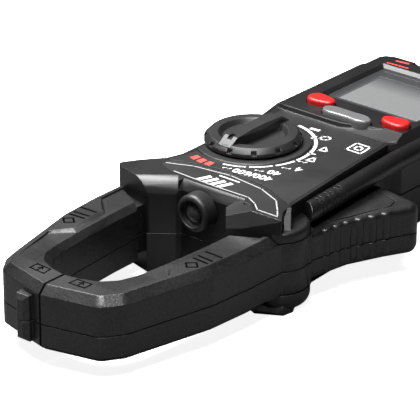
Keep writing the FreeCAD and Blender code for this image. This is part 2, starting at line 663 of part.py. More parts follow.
def handle_bar():
    """Tapered grip bar, highest at the middle, that points to the chosen range."""
    low, high = KNOB_SKIRT_Z[0] + 0.6, KNOB_TOP_Z
    reach = KNOB_R - 1.0
    side = [(-reach, low), (-reach, high - 2.6), (-reach + 3.4, high - 0.5), (0.0, high),
            (reach - 3.0, high - 0.3), (reach, high - 2.2), (reach, low)]
    ring = [vec(-2.9, y, z) for y, z in side]
    bar = Part.Face(Part.makePolygon(ring + ring[:1])).extrude(vec(5.8, 0, 0))
    taper = [(-2.2, -reach), (2.2, -reach), (2.9, 0.0), (2.5, reach), (-2.5, reach), (-2.9, 0.0)]
    roof = [vec(x, -reach, z) for x, z in [(-3, low), (-3, high - 1.3), (-2, high - 0.1), (2, high - 0.1),
                                           (3, high - 1.3), (3, low)]]
    roof = Part.Face(Part.makePolygon(roof + roof[:1])).extrude(vec(0, 2 * reach, 0))
    bar = bar.common(prism(taper, 20, 40)).common(roof)
    bar = bar.cut(block(-0.8, 0.8, -reach + 1.0, -reach + 5.0, high - 1.2, high + 1))
    bar.translate(vec(KNOB[0], KNOB[1], 0))
    return bar


def skirt_notch(angle):
    cut = block(KNOB_R - 0.9, KNOB_R + 0.5, -0.8, 0.8, KNOB_SKIRT_Z[0] + 0.7, KNOB_SKIRT_Z[1] + 1)
    cut.rotate(vec(0, 0, 0), vec(0, 0, 1), angle)
    cut.translate(vec(KNOB[0], KNOB[1], 0))
    return cut


def switch_rotor():
    rotor = disc(KNOB, 7.2, PCB_Z[1] + 0.5, PCB_Z[1] + 1.7)
    rotor = rotor.fuse(disc(KNOB, 4.9, PCB_Z[1] + 1.7, PCB_Z[1] + 2.9)).removeSplitter()
    return rotor


def wiper_contacts():
    """Three sprung bridge contacts under the rotor."""
    contacts = []
    for i in range(3):
        angle = 120.0 * i
        blade = block(3.2, 6.8, -0.9, 0.9, PCB_Z[1] + 0.1, PCB_Z[1] + 0.5)
        blade.rotate(vec(0, 0, 0), vec(0, 0, 1), angle)
        blade.translate(vec(KNOB[0], KNOB[1], 0))
        contacts.append(blade)
    return Part.makeCompound(contacts)


# ---- rear housing and battery bay ----
LOWER_OUTLINE = [(28.4, 63.6), (30.4, 68.0), (28.0, 76.0), (24.6, 84.0), (23.8, 98.0), (BODY_HALF_W, 127.4),
                 (BODY_HALF_W, 175.0), (20.6, 183.6), (13.0, REAR_Y)] + UPPER_FAR_SIDE + HOOD_FRONT


def lower_solid():
    base = prism(LOWER_OUTLINE, 0.0, SEAM_Z)
    base = base.makeFillet(1.6, upright_edges(base, [(-30.6, 64.4), (-29.2, 62.8)], 0.3))
    base = base.makeFillet(4.0, upright_edges(base, [(20.6, 183.6), (-20.6, 183.6), (13.0, REAR_Y),
                                                     (-13.0, REAR_Y)], 0.3))
    return base.makeFillet(1.5, level_edges(base, 0.0))


def hub_base():
    """Cup under the lever's hub that narrows down to a low skirt on the resting face."""
    cup = disc(PIVOT, HUB_R + 0.2, 0.0, LEVER_Z[0] - KNUCKLE_GAP)
    cup = cup.makeFillet(3.6, level_edges(cup, 0.0))
    under = [(23.6, 59.4), (30.8, 63.4), (31.4, 67.0), (27.0, 75.0), (17.4, 70.0), (15.8, 62.6)]
    foot = [(23.6, 60.4), (30.2, 64.2), (30.6, 67.0), (27.0, 74.0), (18.0, 70.0), (16.6, 63.4)]
    return joined([cup, tapered(under, 0.0, foot, 2.2)])


def rear_housing():
    shell = lower_solid()
    shell = shell.cut(grown(LOWER_OUTLINE, -WALL, WALL, SEAM_Z + 1))
    shell = joined([shell, hub_base()])
    shell = shell.cut(lever_sweep(LEVER_Z[0] - KNUCKLE_GAP, SEAM_Z + 1, 0.5))
    shell = shell.cut(disc(PIVOT, PIN_R + RUN, 1.8, 30))
    shell = shell.cut(tongue(FIT))
    shell = shell.cut(cover_plan(FIT, -1, WALL + 1))
    for x, y in SCREW_PLACES:
        boss = disc((x, y), 3.2, 1.0, SEAM_Z)
        shell = shell.fuse(boss).removeSplitter()
    for x, y in SCREW_PLACES:
        shell = shell.cut(disc((x, y), 1.3, -1, SEAM_Z + 1)).cut(disc((x, y), 2.6, -1, 2.4))
    return shell


def cover_plan(gap, low, high):
    return block(-15.0 - gap, 15.0 + gap, 129.5 - gap, 178.5 + gap, low, high)


def battery_cover():
    cover = cover_plan(0.0, 0.0, WALL)
    cover = cover.makeFillet(1.0, upright_edges(cover))
    cover = cover.makeChamfer(0.4, level_edges(cover, 0.0))
    for i in range(5):
        y = 133.0 + 2.0 * i
        cover = cover.cut(block(-7.0, 7.0, y, y + 0.9, -0.1, 0.5))
    return cover.cut(disc((0.0, 175.0), 1.2, -1, 5)).cut(disc((0.0, 175.0), 2.4, -1, 1.2))


def screw(x, y, head_z, length, radius, head_r, head_h):
    """Pan-head screw with a cross recess; its head is at head_z and it points up."""
    head = disc((x, y), head_r, head_z, head_z + head_h)
    shank = disc((x, y), radius, head_z + head_h, head_z + head_h + length)
    body = head.fuse(shank).removeSplitter()
    arm = head_r * 0.55
    body = body.cut(block(x - arm, x + arm, y - 0.3, y + 0.3, head_z - 0.1, head_z + 0.6))
    return body.cut(block(x - 0.3, x + 0.3, y - arm, y + arm, head_z - 0.1, head_z + 0.6))


def housing_screws():
    return Part.makeCompound([screw(x, y, 0.5, 10.0, 1.2, 2.3, 1.7) for x, y in SCREW_PLACES])


def cover_screw():
    return screw(0.0, 175.0, 0.1, 3.6, 1.1, 2.1, 1.0)


def battery_cell(x, flip):
    body = rod_y(x, CELL_Z, CELL_R, CELL_Y, CELL_Y + CELL_LENGTH - 1.0)
    tip_y = CELL_Y - 0.8 if flip else CELL_Y + CELL_LENGTH - 1.0
    return body.fuse(rod_y(x, CELL_Z, 1.9, tip_y, tip_y + 0.8)).removeSplitter()


def battery_tray():
    """Moulded cradle that holds the two cells above the cover."""
    tray = block(-12.6, 12.6, CELL_Y - 2.6, CELL_Y + CELL_LENGTH + 2.4, WALL + 0.2, CELL_Z + 1.0)
    hollow = block(-11.4, 11.4, CELL_Y - 1.4, CELL_Y + CELL_LENGTH + 1.2, 0, 20)
    sill = block(-12.6, 12.6, CELL_Y - 2.6, CELL_Y - 1.4, CELL_Z, CELL_Z + 2.0)
    return joined([tray.cut(hollow), sill])


def battery_contacts():
    """Two flat strips and two end plates that touch the cells' ends."""
    plates = []
    for x in (-5.9, 5.9):
        plates.append(block(x - 3.6, x + 3.6, CELL_Y - 1.35, CELL_Y - 0.95, WALL + 1.0, CELL_Z + 3.0))
        plates.append(block(x - 3.6, x + 3.6, CELL_Y + CELL_LENGTH + 0.2, CELL_Y + CELL_LENGTH + 0.6,
                            WALL + 1.0, CELL_Z + 3.0))
    return Part.makeCompound(plates)


# ---- electronics ----
def main_board():
    board = prism([(-17.0, 84.0), (18.0, 84.0), (17.0, 122.0), (19.4, 130.0), (19.4, 172.0),
                   (-19.4, 172.0), (-19.4, 130.0), (-17.4, 122.0)], PCB_Z[0], PCB_Z[1])
    return board


def main_chip():
    return block(-6.0, 6.0, 112.0, 124.0, PCB_Z[0] - 1.5, PCB_Z[0])


def buzzer():
    can = disc((-12.0, 116.0), 5.0, PCB_Z[0] - 3.0, PCB_Z[0])
    return can.cut(disc((-12.0, 116.0), 0.8, PCB_Z[0] - 3.1, PCB_Z[0] - 1.2))


def input_jack(x):
    """Brass sleeve for a 4 mm test plug, closed at its inner end."""
    sleeve = rod_y(x, JACK_Z, 2.9, REAR_Y - JACK_LENGTH, REAR_Y - 1.0)
    return sleeve.cut(rod_y(x, JACK_Z, JACK_BORE_R, REAR_Y - JACK_LENGTH + 1.5, REAR_Y + 1))


def jack_shroud(x):
    ring = rod_y(x, JACK_Z, 3.9, REAR_Y - 5.5, REAR_Y + 0.6)
    return ring.cut(rod_y(x, JACK_Z, 2.9 + 0.05, REAR_Y - 6, REAR_Y + 1))


def lamp_body():
    boss = rod_y(LAMP[0], LAMP[1], LAMP_R, 60.4, 65.4)
    boss = boss.makeFillet(1.4, [e for e in boss.Edges if abs(e.BoundBox.YMax - 60.4) < 1e-3])
    boss = boss.fuse(rod_y(LAMP[0], LAMP[1], 4.0, 65.4, 71.5)).removeSplitter()
    return boss.cut(rod_y(LAMP[0], LAMP[1], 2.65, 60.0, 72.0)).cut(rod_y(LAMP[0], LAMP[1], 4.0, 60.0, 62.2))


def lamp_lens():
    lens = rod_y(LAMP[0], LAMP[1], 2.6, 61.6, 63.2)
    dome = Part.makeSphere(4.0, vec(LAMP[0], 64.6, LAMP[1])).common(rod_y(LAMP[0], LAMP[1], 2.6, 60.4, 61.7))
    return lens.fuse(dome).removeSplitter()


def lamp_led():
    base = rod_y(LAMP[0], LAMP[1], 2.4, 67.0, 70.0)
    return base.fuse(Part.makeSphere(2.0, vec(LAMP[0], 67.0, LAMP[1]))).removeSplitter()


def pivot_pin():
    return disc(PIVOT, PIN_R, 2.0, HUB_TOP_Z - 1.4)


# ---- write every piece ----
split(fixed_jaw(), "fixed_jaw")
split(moving_jaw(), "moving_jaw")
save("fixed_jaw_core", jaw_core(-1))
save("moving_jaw_core", jaw_core(1))
save("fixed_jaw_coil", jaw_coil(-1))
save("moving_jaw_coil", jaw_coil(1))
save("pivot_pin", pivot_pin())
save("return_spring", return_spring())

housing = front_housing()
save("front_housing", housing)
back = rear_housing()
save("rear_housing", back.cut(seam_groove(back)))
outside = upper_solid().fuse(lower_solid())
save("grip_rail_left", rail_solid(1).cut(outside).cut(disc(PIVOT, HUB_R + 0.5, 0, 40)))
save("grip_rail_right", rail_solid(-1).cut(outside))
save("dial_faceplate", dial_panel())
save("front_band", front_band())
save("lcd_lens", lcd_lens())
save("lcd_module", lcd_module())
save("button_red_left", button(red_outline(-1), 0.6))
save("button_red_right", button(red_outline(1), 0.6))
save("button_wide", button(wide_outline(), 0.6))
save("button_pad", button_pad())
save("knob_collar", knob_collar())
save("rotary_knob", rotary_knob())
save("switch_rotor", switch_rotor())
save("wiper_contacts", wiper_contacts())
save("battery_cover", battery_cover())
save("cover_screw", cover_screw())
save("housing_screws", housing_screws())
save("battery_cell_1", battery_cell(-5.9, False))
save("battery_cell_2", battery_cell(5.9, True))
save("battery_tray", battery_tray())
save("battery_contacts", battery_contacts())
save("main_board", main_board())
save("main_chip", main_chip())
save("buzzer", buzzer())
save("input_jack_com", input_jack(-JACK_X))
save("input_jack_volt", input_jack(JACK_X))
save("jack_shroud_com", jack_shroud(-JACK_X))
save("jack_shroud_volt", jack_shroud(JACK_X))
save("lamp_body", lamp_body())
save("lamp_lens", lamp_lens())
save("lamp_led", lamp_led())
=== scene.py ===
import json
import math

import bmesh
import bpy
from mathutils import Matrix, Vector


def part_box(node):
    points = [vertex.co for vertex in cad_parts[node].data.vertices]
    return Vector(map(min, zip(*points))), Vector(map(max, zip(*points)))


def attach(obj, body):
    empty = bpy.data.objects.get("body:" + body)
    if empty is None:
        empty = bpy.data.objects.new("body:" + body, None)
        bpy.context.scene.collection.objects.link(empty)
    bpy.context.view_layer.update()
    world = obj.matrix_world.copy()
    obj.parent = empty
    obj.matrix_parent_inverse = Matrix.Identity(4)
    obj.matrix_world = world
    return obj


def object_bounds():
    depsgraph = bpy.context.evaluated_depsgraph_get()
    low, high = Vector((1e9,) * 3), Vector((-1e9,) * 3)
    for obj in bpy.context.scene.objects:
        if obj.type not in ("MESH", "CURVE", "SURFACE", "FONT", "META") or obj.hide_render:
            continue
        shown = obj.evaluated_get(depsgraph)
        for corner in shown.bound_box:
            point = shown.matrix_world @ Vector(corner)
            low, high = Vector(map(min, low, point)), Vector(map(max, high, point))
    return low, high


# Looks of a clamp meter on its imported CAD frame.  Lengths are metres, in the frame's own axes.
# Outlines of printed marks are in mm, with y counted from the jaw tip; mm() turns them into metres.

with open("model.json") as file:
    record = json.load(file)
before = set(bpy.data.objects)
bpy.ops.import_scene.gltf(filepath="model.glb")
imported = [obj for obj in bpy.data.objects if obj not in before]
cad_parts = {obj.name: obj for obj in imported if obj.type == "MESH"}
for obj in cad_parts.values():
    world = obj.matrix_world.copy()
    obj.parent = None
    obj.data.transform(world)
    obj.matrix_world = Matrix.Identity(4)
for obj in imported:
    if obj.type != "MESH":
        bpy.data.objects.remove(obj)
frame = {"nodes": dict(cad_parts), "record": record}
NODES = frame["nodes"]
CAD_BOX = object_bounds()
MM = 0.001
REF_Y = 125.0            # mm from the jaw tip to the origin
PRINT = 0.03             # thickness of a printed mark, mm
PRINT_GAP = 0.005        # gap between a printed mark and the surface under it, mm

KEY_POWER = 9.0          # watts of the main softbox
FILL_LIGHT = 0.012       # light from the surroundings on the object
FLOOR_GLOW = 0.88        # brightness of the floor as the camera sees it
FLOOR_BOUNCE = 0.13      # share of light that the floor throws back at the object
FLOOR_HALF = 3.0         # half the floor's side, metres
FLOOR_DROP = 0.0002      # the floor lies this far below the object, metres

AZIMUTH = 40.0           # camera bearing from the jaw's end, degrees
ELEVATION = 24.5         # camera height angle, degrees
CAMERA_PLACE = (0.49638, -0.64816, 0.37361)
SENSOR_WIDTH = 36.0      # mm
LENS_PER_SENSOR = 50.0 / 7.0    # a long lens: focal length in sensor widths


def mm(x, y, z):
    """Point given in mm, with y counted from the jaw tip, in the frame's metres."""
    return Vector((x, y - REF_Y, z)) * MM


def centre_of(node):
    low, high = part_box(node)
    return (low + high) / 2


def top_of(node):
    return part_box(node)[1].z / MM


PANEL_Z = top_of("dial_faceplate")
JAW_TOP = top_of("moving_jaw_upper")
KNOB = centre_of("switch_rotor")
KNOB_X = KNOB.x / MM
KNOB_Y = KNOB.y / MM + REF_Y
SCALE_RADIUS = 18.3      # printed arc around the knob, mm
NUMBER_SIZE = 3.9        # mm
NUMBER_BOLD = 0.1        # mm added round each figure
TICK_WIDTH = 1.2         # marks along the display's border, mm
TICK_PITCH = 1.9


# ---------------------------------------------------------------- materials
NOISE_MIDDLE = (0.3, 0.7)      # the part of a noise value's range that shows
GRAIN_DEPTH = 0.00005          # heights of surface relief, metres
SCRATCH_DEPTH = 0.00003
WIRE_DEPTH = 0.0002


def new_material(name):
    mat = bpy.data.materials.new(name)
    mat.use_nodes = True
    tree = mat.node_tree
    tree.nodes.clear()
    out = tree.nodes.new("ShaderNodeOutputMaterial")
    shader = tree.nodes.new("ShaderNodeBsdfPrincipled")
    tree.links.new(shader.outputs[0], out.inputs[0])
    return mat, tree, shader


def noise(tree, scale, detail=2.0, rough=0.5):
    node = tree.nodes.new("ShaderNodeTexNoise")
    node.inputs["Scale"].default_value = scale
    node.inputs["Detail"].default_value = detail
    node.inputs["Roughness"].default_value = rough
    coords = tree.nodes.new("ShaderNodeTexCoord")
    tree.links.new(coords.outputs["Object"], node.inputs["Vector"])
    return node


def ramp(tree, source, low, high, dark, light):
    node = tree.nodes.new("ShaderNodeValToRGB")
    node.color_ramp.elements[0].position = low
    node.color_ramp.elements[1].position = high
    node.color_ramp.elements[0].color = (*dark, 1.0)
    node.color_ramp.elements[1].color = (*light, 1.0)
    tree.links.new(source, node.inputs[0])
    return node


def map_range(tree, source, from_low, from_high, to_low, to_high):
    """Stretch a value from one range to another; sockets 1 to 4 of the node hold the four ends."""
    node = tree.nodes.new("ShaderNodeMapRange")
    for socket, end in enumerate((from_low, from_high, to_low, to_high), start=1):
        node.inputs[socket].default_value = end
    tree.links.new(source, node.inputs[0])
    return node


MIX_FACTOR, MIX_FIRST, MIX_SECOND = 0, 6, 7    # sockets of the Mix node when it mixes colours


def mix_colour(tree, fac, first, second, mode="MIX"):
    node = tree.nodes.new("ShaderNodeMix")
    node.data_type = "RGBA"
    node.blend_type = mode
    for value, socket in ((fac, MIX_FACTOR), (first, MIX_FIRST), (second, MIX_SECOND)):
        if isinstance(value, bpy.types.NodeSocket):
            tree.links.new(value, node.inputs[socket])
        elif socket == MIX_FACTOR:
            node.inputs[socket].default_value = value
        else:
            node.inputs[socket].default_value = (*value, 1.0)
    return node.outputs[2]


def bump_from(tree, shader, height, strength, distance, under=None):
    """Bump the shader's normal by a height value, on top of another normal if one is given."""
    relief = tree.nodes.new("ShaderNodeBump")
    relief.inputs["Strength"].default_value = strength
    relief.inputs["Distance"].default_value = distance
    tree.links.new(height, relief.inputs["Height"])
    if under is not None:
        tree.links.new(under, relief.inputs["Normal"])
    tree.links.new(relief.outputs[0], shader.inputs["Normal"])


def set_roughness(tree, shader, source, span, limits):
    """Roughness that follows a noise value: span of the noise to limits of roughness."""
    gloss = map_range(tree, source, *span, *limits)
    tree.links.new(gloss.outputs[0], shader.inputs["Roughness"])


def edge_mask(tree, radius):
    """0 on flat areas, near 1 along sharp edges."""
    soft = tree.nodes.new("ShaderNodeBevel")
    soft.samples = 4
    soft.inputs["Radius"].default_value = radius
    plain = tree.nodes.new("ShaderNodeNewGeometry")
    dot = tree.nodes.new("ShaderNodeVectorMath")
    dot.operation = "DOT_PRODUCT"
    tree.links.new(soft.outputs[0], dot.inputs[0])
    tree.links.new(plain.outputs["Normal"], dot.inputs[1])
    return map_range(tree, dot.outputs["Value"], 0.99, 0.8, 0.0, 1.0).outputs[0], soft


def plastic(name, colour, rough, grain=2600.0, bump=0.25, speckle=0.25, edge=0.5, soft_mm=0.35, coat=0.0):
    """Moulded plastic: spark-eroded grain, uneven sheen, edges lightened as partly rubbed wear and partly
    painted highlight, and rounded corners.
    """
    mat, tree, shader = new_material(name)
    fine = noise(tree, grain, 2.0, 0.6)
    broad = noise(tree, 55.0, 3.0, 0.55)
    grains = ramp(tree, fine.outputs["Fac"], 0.35, 0.68,
                  [c * (1.0 - speckle) for c in colour], [c * (1.0 + speckle) for c in colour])
    shade = ramp(tree, broad.outputs["Fac"], *NOISE_MIDDLE, (0.9, 0.9, 0.9), (1.1, 1.1, 1.1))
    body = mix_colour(tree, 1.0, grains.outputs[0], shade.outputs[0], "MULTIPLY")
    mask, soft = edge_mask(tree, soft_mm * MM)
    # lighter colour along sharp edges: partly rubbed wear, partly a painted edge highlight
    rubbed_and_highlit = mix_colour(tree, mask, body, [min(1.0, c * (1.0 + edge) + 0.01) for c in colour])
    tree.links.new(rubbed_and_highlit, shader.inputs["Base Color"])
    set_roughness(tree, shader, broad.outputs["Fac"], NOISE_MIDDLE, (rough - 0.04, rough + 0.05))
    bump_from(tree, shader, fine.outputs["Fac"], bump, GRAIN_DEPTH, soft.outputs[0])
    shader.inputs["Coat Weight"].default_value = coat
    shader.inputs["Coat Roughness"].default_value = 0.12
    return mat


def metal(name, colour, rough, stretch=(1.0, 1.0, 1.0), grain=900.0):
    """Worked metal: brushed streaks in colour, roughness and bump."""
    mat, tree, shader = new_material(name)
    coords = tree.nodes.new("ShaderNodeTexCoord")
    mapping = tree.nodes.new("ShaderNodeMapping")
    mapping.inputs["Scale"].default_value = stretch
    tree.links.new(coords.outputs["Object"], mapping.inputs[0])
    streak = tree.nodes.new("ShaderNodeTexNoise")
    streak.inputs["Scale"].default_value = grain
    streak.inputs["Detail"].default_value = 3.0
    tree.links.new(mapping.outputs[0], streak.inputs["Vector"])
    tone = ramp(tree, streak.outputs["Fac"], *NOISE_MIDDLE,
                [c * 0.75 for c in colour], [min(1.0, c * 1.15) for c in colour])
    tree.links.new(tone.outputs[0], shader.inputs["Base Color"])
    set_roughness(tree, shader, streak.outputs["Fac"], NOISE_MIDDLE, (rough - 0.08, rough + 0.1))
    bump_from(tree, shader, streak.outputs["Fac"], 0.2, SCRATCH_DEPTH)
    shader.inputs["Metallic"].default_value = 1.0
    return mat


def ink(name, colour, rough=0.45, sheen=0.5):
    """Pad-printed ink: thin, slightly patchy and matt."""
    mat, tree, shader = new_material(name)
    shader.inputs["Specular IOR Level"].default_value = sheen
    fine = noise(tree, 3200.0, 2.0)
    tone = ramp(tree, fine.outputs["Fac"], 0.25, 0.6, [c * 0.86 for c in colour], colour)
    tree.links.new(tone.outputs[0], shader.inputs["Base Color"])
    set_roughness(tree, shader, fine.outputs["Fac"], NOISE_MIDDLE, (rough - 0.05, rough + 0.1))
    bump_from(tree, shader, fine.outputs["Fac"], 0.15, SCRATCH_DEPTH)
    return mat


def clear(name, tint, rough, shows=0.35):
    """Polished window: mostly see-through, with a faint haze of fine scratches."""
    mat, tree, shader = new_material(name)
    haze = noise(tree, 240.0, 4.0, 0.7)
    set_roughness(tree, shader, haze.outputs["Fac"], (0.4, 0.8), (rough, rough + 0.12))
    tone = ramp(tree, haze.outputs["Fac"], 0.2, 0.8, [c * 0.94 for c in tint], tint)
    tree.links.new(tone.outputs[0], shader.inputs["Base Color"])
    shader.inputs["IOR"].default_value = 1.49
    shader.inputs["Alpha"].default_value = shows
    mat.surface_render_method = "BLENDED"
    return mat


def display(name):
    """Liquid crystal behind its polariser: light grey, with painted shade of the bezel's recess darkening
    it towards the rear edge.
    """
    mat, tree, shader = new_material(name)
    coords = tree.nodes.new("ShaderNodeTexCoord")
    split = tree.nodes.new("ShaderNodeSeparateXYZ")
    tree.links.new(coords.outputs["Object"], split.inputs[0])
    low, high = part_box("lcd_module")
    # painted shade: the display darkens towards its rear edge, as if shaded by the bezel's recess
    painted_rear_shade = map_range(tree, split.outputs["Y"], low.y, high.y, 0.0, 1.0)
    tone = ramp(tree, painted_rear_shade.outputs[0], 0.62, 1.0, (0.115, 0.117, 0.114), (0.012, 0.0125, 0.0125))
    fine = noise(tree, 2400.0, 1.0)
    weave = ramp(tree, fine.outputs["Fac"], *NOISE_MIDDLE, (0.96, 0.96, 0.96), (1.03, 1.03, 1.03))
    body = mix_colour(tree, 1.0, tone.outputs[0], weave.outputs[0], "MULTIPLY")
    tree.links.new(body, shader.inputs["Base Color"])
    shader.inputs["Specular IOR Level"].default_value = 0.08
    set_roughness(tree, shader, fine.outputs["Fac"], NOISE_MIDDLE, (0.28, 0.36))
    return mat


def banded(tree, direction, scale, distortion):
    """Evenly spaced bands along one of the object's axes."""
    coords = tree.nodes.new("ShaderNodeTexCoord")
    wave = tree.nodes.new("ShaderNodeTexWave")
    wave.bands_direction = direction
    wave.inputs["Scale"].default_value = scale
    wave.inputs["Distortion"].default_value = distortion
    tree.links.new(coords.outputs["Object"], wave.inputs["Vector"])
    return wave


def laminated(name):
    """Stack of thin steel sheets: fine lines across the thickness."""
    mat, tree, shader = new_material(name)
    wave = banded(tree, "Z", 900.0, 0.4)
    tone = ramp(tree, wave.outputs["Fac"], 0.2, 0.6, (0.12, 0.12, 0.13), (0.42, 0.42, 0.45))
    tree.links.new(tone.outputs[0], shader.inputs["Base Color"])
    shader.inputs["Metallic"].default_value = 1.0
    shader.inputs["Roughness"].default_value = 0.45
    return mat


def wound(name):
    """Enamelled copper winding: close turns across the arm."""
    mat, tree, shader = new_material(name)
    wave = banded(tree, "Y", 1100.0, 0.3)
    tone = ramp(tree, wave.outputs["Fac"], 0.1, 0.8, (0.2, 0.06, 0.02), (0.72, 0.31, 0.12))
    tree.links.new(tone.outputs[0], shader.inputs["Base Color"])
    bump_from(tree, shader, wave.outputs["Fac"], 0.6, WIRE_DEPTH)
    shader.inputs["Metallic"].default_value = 0.9
    shader.inputs["Roughness"].default_value = 0.3
    return mat


BODY_GREY = (0.0055, 0.0055, 0.0058)
MATS = {
    "housing": plastic("housing_black", BODY_GREY, 0.40, bump=0.3, speckle=0.3),
    "jaw": plastic("jaw_black", (0.009, 0.009, 0.0092), 0.38, grain=1500.0, bump=1.0, speckle=0.6),
    "rubber": plastic("grip_rubber_black", (0.007, 0.007, 0.007), 0.34, grain=3200.0, bump=0.12,
                      speckle=0.15),
    "panel": plastic("faceplate_charcoal", (0.008, 0.008, 0.0082), 0.45, grain=2200.0, bump=0.25,
                     speckle=0.18, edge=1.2),
    "knob": plastic("knob_black", (0.010, 0.010, 0.0105), 0.43, bump=0.12, speckle=0.15, edge=0.9),
    "red": plastic("button_red_satin", (0.40, 0.008, 0.007), 0.38, grain=1600.0, bump=0.15,
                   speckle=0.1, edge=0.25, soft_mm=0.6),
    "key": plastic("button_grey_satin", (0.11, 0.11, 0.112), 0.24, grain=1800.0, bump=0.2,
                   speckle=0.15, edge=0.6, soft_mm=0.6, coat=0.3),
    "lens": clear("window_clear", (0.30, 0.31, 0.32), 0.06, 0.09),
    "lcd": display("liquid_crystal_grey"),
    "steel": metal("zinc_steel", (0.62, 0.62, 0.64), 0.32, (1.0, 1.0, 6.0)),
    "core": laminated("laminated_steel"),
    "copper": wound("copper_winding"),
    "brass": metal("jack_brass", (0.78, 0.56, 0.24), 0.24, (1.0, 0.2, 1.0)),
    "board": plastic("solder_mask_green", (0.012, 0.12, 0.05), 0.3, grain=700.0, bump=0.2,
                     speckle=0.3, coat=0.4),
    "epoxy": plastic("chip_epoxy_black", (0.018, 0.018, 0.018), 0.55, grain=3000.0, bump=0.3, speckle=0.3),
    "jack_red": plastic("socket_red", (0.6, 0.02, 0.015), 0.34, grain=1800.0, bump=0.15, speckle=0.1),
    "jacket": metal("cell_jacket", (0.10, 0.11, 0.16), 0.35, (1.0, 0.3, 1.0)),
    "led": clear("led_epoxy", (0.42, 0.42, 0.38), 0.1, 0.8),
    "white": ink("print_white", (0.66, 0.66, 0.65)),
    "red_print": ink("print_red", (0.75, 0.06, 0.05)),
    "dark": ink("print_black", (0.0015, 0.0015, 0.0015), 0.9, 0.03),
    # grey print for the rear keyline, also used as a painted edge highlight strip on the front band
    "grey_print_and_edge_highlight": ink("print_grey_and_edge_highlight", (0.34, 0.34, 0.34)),
    "grey_dark": ink("print_dark_grey", (0.12, 0.12, 0.12)),
}

LOOK = {
    "housing_plastic": "housing", "jaw_plastic": "jaw", "grip_rubber": "rubber", "faceplate_print": "panel",
    "clear_lens": "lens", "lcd_glass": "lcd", "red_plastic": "red", "button_plastic": "key",
    "knob_plastic": "knob", "steel": "steel", "core_steel": "core", "copper_wire": "copper",
    "board_laminate": "board", "chip_epoxy": "epoxy", "jack_brass": "brass", "jack_red": "jack_red",
    "cell_jacket": "jacket", "lamp_plastic": "knob", "led_epoxy": "led",
}


def dress_nodes():
    slots = {s["node"]: s["material_slot"] for s in frame["record"]["subparts"]}
    for name, obj in NODES.items():
        obj.data.materials.clear()
        obj.data.materials.append(MATS[LOOK[slots[name]]])


SOFT_EDGES = {
    "front_housing": 0.45, "rear_housing": 0.45, "fixed_jaw_upper": 0.4, "fixed_jaw_lower": 0.3,
    "moving_jaw_upper": 0.4, "moving_jaw_lower": 0.3, "rotary_knob": 0.3, "lamp_body": 0.2,
    "button_wide": 0.3, "battery_cover": 0.3, "jack_shroud_com": 0.2, "jack_shroud_volt": 0.2,
}


def soften_edges():
    """Moulded radius on the sharp edges of the outer shells."""
    for name, width in SOFT_EDGES.items():
        obj = NODES[name]
        weld = obj.modifiers.new("weld", "WELD")
        weld.merge_threshold = 0.000005
        bevel = obj.modifiers.new("radius", "BEVEL")
        bevel.width = width * MM
        bevel.segments = 3
        bevel.limit_method = "ANGLE"
        bevel.angle_limit = math.radians(28.0)
        bevel.use_clamp_overlap = True
        bevel.harden_normals = True


def add_object(name, data):
    """New object in the scene that shows the given mesh, curve, light or camera."""
    obj = bpy.data.objects.new(name, data)
    bpy.context.scene.collection.objects.link(obj)
    return obj


# ---------------------------------------------------------------- printed marks
def plates(name, outlines, z, look, body="root_case"):
    """Flat raised marks: each outline becomes a thin plate on the surface at height z."""
    mesh = bpy.data.meshes.new(name)
    bm = bmesh.new()
    for points in outlines:
        verts = [bm.verts.new(mm(x, y, z + PRINT_GAP)) for x, y in points]
        face = bm.faces.new(verts)
        made = bmesh.ops.extrude_face_region(bm, geom=[face])
        moved = [v for v in made["geom"] if isinstance(v, bmesh.types.BMVert)]
        bmesh.ops.translate(bm, verts=moved, vec=(0, 0, PRINT * MM))
    bmesh.ops.recalc_face_normals(bm, faces=bm.faces)
    bm.to_mesh(mesh)
    bm.free()
    obj = add_object(name, mesh)
    obj.data.materials.append(MATS[look])
    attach(obj, body)


def stroke(points, width, closed=False):
    """Quads that follow a polyline, as one outline for each straight run."""
    runs = []
    chain = points + points[:1] if closed else points
    for (xa, ya), (xb, yb) in zip(chain, chain[1:]):
        length = math.hypot(xb - xa, yb - ya)
        nx, ny = -(yb - ya) / length * width / 2, (xb - xa) / length * width / 2
        ex, ey = (xb - xa) / length * width / 2, (yb - ya) / length * width / 2
        runs.append([(xa - ex + nx, ya - ey + ny), (xa - ex - nx, ya - ey - ny),
                     (xb + ex - nx, yb + ey - ny), (xb + ex + nx, yb + ey + ny)])
    return runs


def arc_band(cx, cy, radius, width, start, end, steps=18):
    """Outline of a curved bar about a centre, from one angle to another, in degrees."""
    outer, inner = [], []
    for i in range(steps + 1):
        angle = math.radians(start + (end - start) * i / steps)
        c, s = math.cos(angle), math.sin(angle)
        outer.append((cx + (radius + width / 2) * c, cy + (radius + width / 2) * s))
        inner.append((cx + (radius - width / 2) * c, cy + (radius - width / 2) * s))
    return outer + inner[::-1]


def placed(points, x, y, turn):
    """A small outline turned by some degrees and moved to its place."""
    c, s = math.cos(math.radians(turn)), math.sin(math.radians(turn))
    return [(x + c * px - s * py, y + s * px + c * py) for px, py in points]


def dial_number(text, x, y, turn):
    """Range number on the faceplate, read from the handle end."""
    name = "dial_number_" + text.replace("/", "_")
    curve = bpy.data.curves.new(name, "FONT")
    curve.body = text
    curve.size = NUMBER_SIZE * MM
    curve.align_x = "CENTER"
    curve.align_y = "CENTER"
    curve.extrude = PRINT * MM / 2
    curve.offset = NUMBER_BOLD * MM
    curve.resolution_u = 3
    made = add_object(name + "_curve", curve)
    bpy.context.view_layer.update()
    mesh = bpy.data.meshes.new_from_object(made)
    bpy.data.objects.remove(made)
    obj = add_object(name, mesh)
    spin = math.radians(turn)
    place = mm(x, y, PANEL_Z + PRINT)
    for v in mesh.vertices:
        px, py = v.co.x, v.co.y
        v.co.x = place.x + px * math.cos(spin) - py * math.sin(spin)
        v.co.y = place.y + px * math.sin(spin) + py * math.cos(spin)
        v.co.z = place.z + v.co.z
    mesh.materials.clear()
    mesh.materials.append(MATS["white"])
    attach(obj, "root_case")


